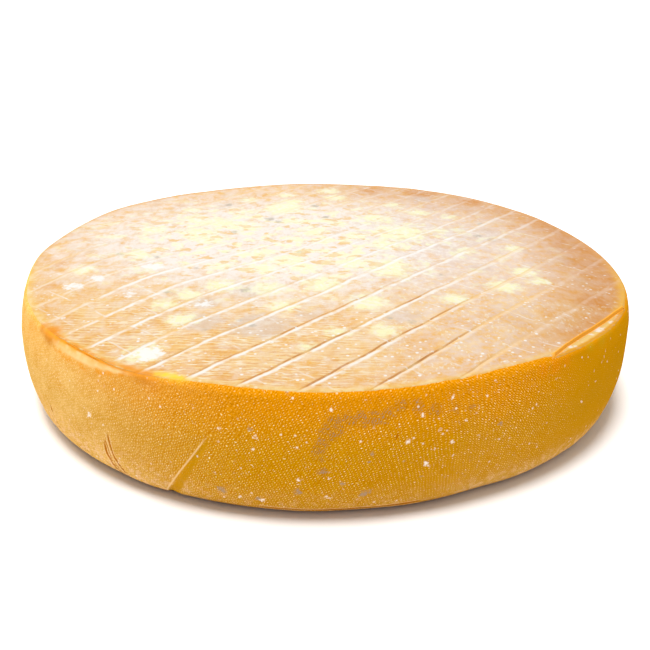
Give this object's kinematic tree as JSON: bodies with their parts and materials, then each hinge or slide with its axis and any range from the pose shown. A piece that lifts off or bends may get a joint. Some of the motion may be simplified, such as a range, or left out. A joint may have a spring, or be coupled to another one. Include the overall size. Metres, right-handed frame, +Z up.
{
  "type": "cheese wheel",
  "caption": "Round washed-rind cheese wheel with a flat base, a gently bulging side and parallel slat marks pressed into its top.",
  "frame": {"origin": "middle of the flat base", "axes": "+Z up through the wheel's thickness, -Y towards the side that is seen from the front"},
  "size_m": [0.3394, 0.3374, 0.066],
  "materials": {
    "rind": null
  },
  "bodies": {
    "root": {"cheese_wheel": "rind"}
  },
  "joints": []
}
